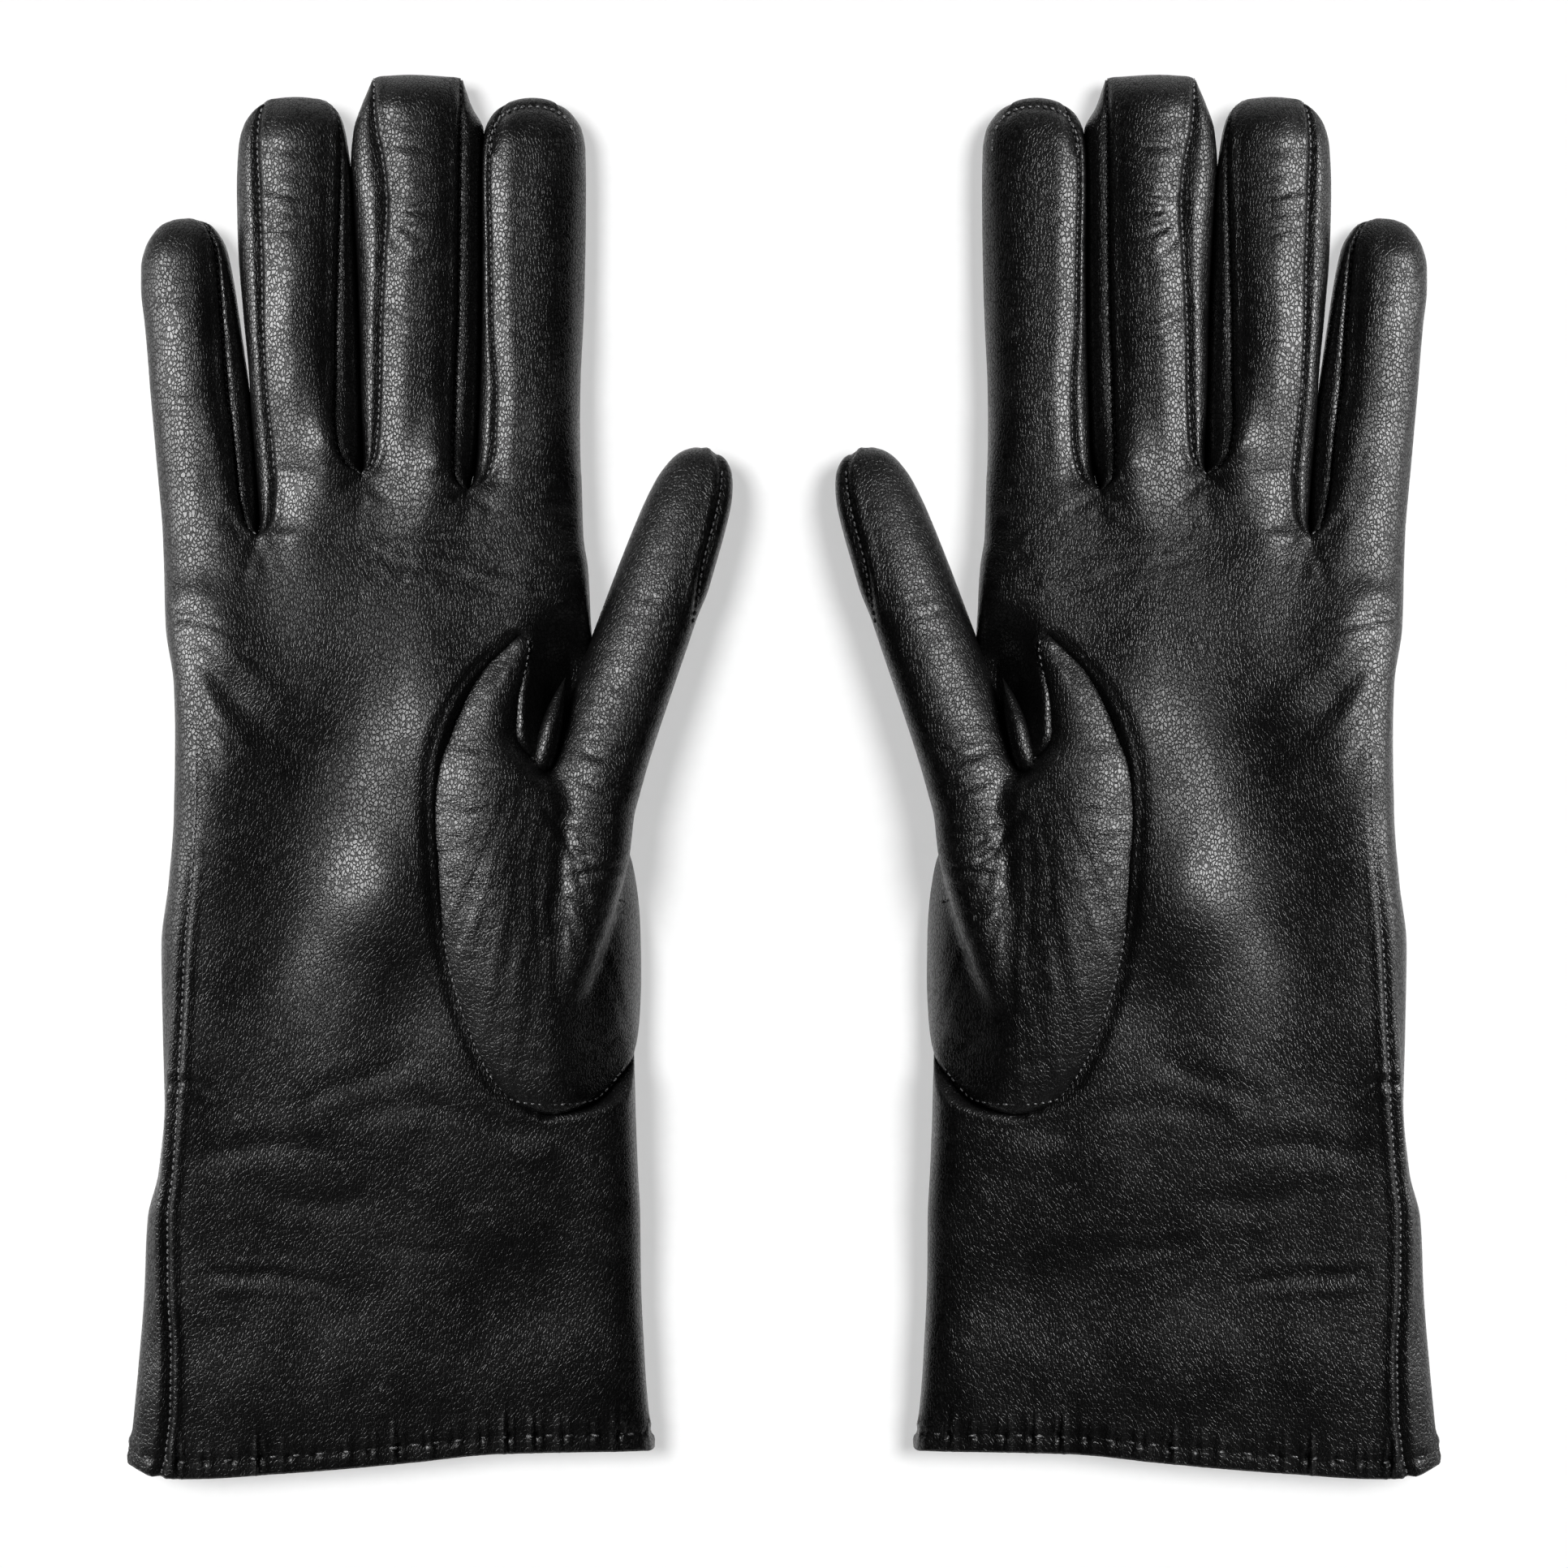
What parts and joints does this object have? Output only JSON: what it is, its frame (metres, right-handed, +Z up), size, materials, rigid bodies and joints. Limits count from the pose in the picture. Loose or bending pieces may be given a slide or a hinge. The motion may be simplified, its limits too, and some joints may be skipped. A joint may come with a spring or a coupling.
{
  "type": "leather gloves",
  "caption": "Pair of plain dress gloves in soft leather, with set-in thumbs, finger fourchettes, a knitted lining and hand-tacked open cuffs; each finger and thumb bends at its creases.",
  "frame": {"origin": "centre of the pair's footprint, on the surface that the backs of the gloves lie on", "axes": "+Y from the cuffs to the fingertips, +X from the right-hand glove to the left-hand glove, +Z up out of the palms"},
  "size_m": [0.2908, 0.311, 0.036],
  "materials": {
    "leather": "fine-grained nappa, semi-gloss",
    "fourchette_leather": "thin skived nappa, semi-gloss",
    "hem_leather": "turned-in nappa edge",
    "thread": "waxed sewing thread, black",
    "lining": "fine knitted lining, matte"
  },
  "bodies": {
    "right_hand": {"right_trank": "leather", "right_hand_lining": "lining", "right_cuff_hem": "hem_leather", "right_hem_tacks": "thread", "right_thumb_gusset": "leather"},
    "right_thumb": {"right_thumb_base": "leather", "right_thumb_lining": "lining"},
    "right_thumb_end": {"right_thumb_tip": "leather"},
    "right_index": {"right_index_base": "leather", "right_index_fourchette_base": "fourchette_leather", "right_index_lining": "lining"},
    "right_index_end": {"right_index_tip": "leather", "right_index_fourchette_tip": "fourchette_leather"},
    "right_middle": {"right_middle_base": "leather", "right_middle_fourchettes_base": "fourchette_leather", "right_middle_lining": "lining"},
    "right_middle_end": {"right_middle_tip": "leather", "right_middle_fourchettes_tip": "fourchette_leather"},
    "right_ring": {"right_ring_base": "leather", "right_ring_fourchettes_base": "fourchette_leather", "right_ring_lining": "lining"},
    "right_ring_end": {"right_ring_tip": "leather", "right_ring_fourchettes_tip": "fourchette_leather"},
    "right_little": {"right_little_base": "leather", "right_little_fourchette_base": "fourchette_leather", "right_little_lining": "lining"},
    "right_little_end": {"right_little_tip": "leather", "right_little_fourchette_tip": "fourchette_leather"},
    "left_hand": {"left_trank": "leather", "left_hand_lining": "lining", "left_cuff_hem": "hem_leather", "left_hem_tacks": "thread", "left_thumb_gusset": "leather"},
    "left_thumb": {"left_thumb_base": "leather", "left_thumb_lining": "lining"},
    "left_thumb_end": {"left_thumb_tip": "leather"},
    "left_index": {"left_index_base": "leather", "left_index_fourchette_base": "fourchette_leather", "left_index_lining": "lining"},
    "left_index_end": {"left_index_tip": "leather", "left_index_fourchette_tip": "fourchette_leather"},
    "left_middle": {"left_middle_base": "leather", "left_middle_fourchettes_base": "fourchette_leather", "left_middle_lining": "lining"},
    "left_middle_end": {"left_middle_tip": "leather", "left_middle_fourchettes_tip": "fourchette_leather"},
    "left_ring": {"left_ring_base": "leather", "left_ring_fourchettes_base": "fourchette_leather", "left_ring_lining": "lining"},
    "left_ring_end": {"left_ring_tip": "leather", "left_ring_fourchettes_tip": "fourchette_leather"},
    "left_little": {"left_little_base": "leather", "left_little_fourchette_base": "fourchette_leather", "left_little_lining": "lining"},
    "left_little_end": {"left_little_tip": "leather", "left_little_fourchette_tip": "fourchette_leather"}
  },
  "joints": [
    {"name": "right_thumb_root", "type": "hinge", "parent": "right_hand", "child": "right_thumb", "pos_m": [-0.0402, 0.00649, 0.0236], "axis": [0.9421, -0.3355, 0], "range_deg": [0, 45]},
    {"name": "right_thumb_middle", "type": "hinge", "parent": "right_thumb", "child": "right_thumb_end", "pos_m": [-0.03215, 0.0291, 0.0218], "axis": [0.9421, -0.3355, 0], "range_deg": [0, 70], "deforming": ["right_thumb_lining"]},
    {"name": "right_index_knuckle", "type": "hinge", "parent": "right_hand", "child": "right_index", "pos_m": [-0.0574, 0.063, 0.0188], "axis": [1, 0, 0], "range_deg": [0, 80]},
    {"name": "right_index_middle", "type": "hinge", "parent": "right_index", "child": "right_index_end", "pos_m": [-0.0554, 0.096, 0.018], "axis": [1, 0, 0], "range_deg": [0, 95], "deforming": ["right_index_lining"]},
    {"name": "right_middle_knuckle", "type": "hinge", "parent": "right_hand", "child": "right_middle", "pos_m": [-0.0816, 0.063, 0.0188], "axis": [1, 0, 0], "range_deg": [0, 80]},
    {"name": "right_middle_middle", "type": "hinge", "parent": "right_middle", "child": "right_middle_end", "pos_m": [-0.0813, 0.098, 0.019], "axis": [1, 0, 0], "range_deg": [0, 95], "deforming": ["right_middle_lining"]},
    {"name": "right_ring_knuckle", "type": "hinge", "parent": "right_hand", "child": "right_ring", "pos_m": [-0.1048, 0.063, 0.0188], "axis": [1, 0, 0], "range_deg": [0, 80]},
    {"name": "right_ring_middle", "type": "hinge", "parent": "right_ring", "child": "right_ring_end", "pos_m": [-0.108, 0.097, 0.0182], "axis": [1, 0, 0], "range_deg": [0, 95], "deforming": ["right_ring_lining"]},
    {"name": "right_little_knuckle", "type": "hinge", "parent": "right_hand", "child": "right_little", "pos_m": [-0.1278, 0.053, 0.018], "axis": [1, 0, 0], "range_deg": [0, 80]},
    {"name": "right_little_middle", "type": "hinge", "parent": "right_little", "child": "right_little_end", "pos_m": [-0.1304, 0.081, 0.017], "axis": [1, 0, 0], "range_deg": [0, 95], "deforming": ["right_little_lining"]},
    {"name": "left_thumb_root", "type": "hinge", "parent": "left_hand", "child": "left_thumb", "pos_m": [0.0402, 0.00649, 0.0236], "axis": [0.9421, 0.3355, 0], "range_deg": [0, 45]},
    {"name": "left_thumb_middle", "type": "hinge", "parent": "left_thumb", "child": "left_thumb_end", "pos_m": [0.03215, 0.0291, 0.0218], "axis": [0.9421, 0.3355, 0], "range_deg": [0, 70], "deforming": ["left_thumb_lining"]},
    {"name": "left_index_knuckle", "type": "hinge", "parent": "left_hand", "child": "left_index", "pos_m": [0.0574, 0.063, 0.0188], "axis": [1, 0, 0], "range_deg": [0, 80]},
    {"name": "left_index_middle", "type": "hinge", "parent": "left_index", "child": "left_index_end", "pos_m": [0.0554, 0.096, 0.018], "axis": [1, 0, 0], "range_deg": [0, 95], "deforming": ["left_index_lining"]},
    {"name": "left_middle_knuckle", "type": "hinge", "parent": "left_hand", "child": "left_middle", "pos_m": [0.0816, 0.063, 0.0188], "axis": [1, 0, 0], "range_deg": [0, 80]},
    {"name": "left_middle_middle", "type": "hinge", "parent": "left_middle", "child": "left_middle_end", "pos_m": [0.0813, 0.098, 0.019], "axis": [1, 0, 0], "range_deg": [0, 95], "deforming": ["left_middle_lining"]},
    {"name": "left_ring_knuckle", "type": "hinge", "parent": "left_hand", "child": "left_ring", "pos_m": [0.1048, 0.063, 0.0188], "axis": [1, 0, 0], "range_deg": [0, 80]},
    {"name": "left_ring_middle", "type": "hinge", "parent": "left_ring", "child": "left_ring_end", "pos_m": [0.108, 0.097, 0.0182], "axis": [1, 0, 0], "range_deg": [0, 95], "deforming": ["left_ring_lining"]},
    {"name": "left_little_knuckle", "type": "hinge", "parent": "left_hand", "child": "left_little", "pos_m": [0.1278, 0.053, 0.018], "axis": [1, 0, 0], "range_deg": [0, 80]},
    {"name": "left_little_middle", "type": "hinge", "parent": "left_little", "child": "left_little_end", "pos_m": [0.1304, 0.081, 0.017], "axis": [1, 0, 0], "range_deg": [0, 95], "deforming": ["left_little_lining"]},
    {"name": "left_glove_lift", "type": "slide", "parent": "right_hand", "child": "left_hand", "axis": [0, 0, 1], "range_m": [0, 0.15]}
  ]
}
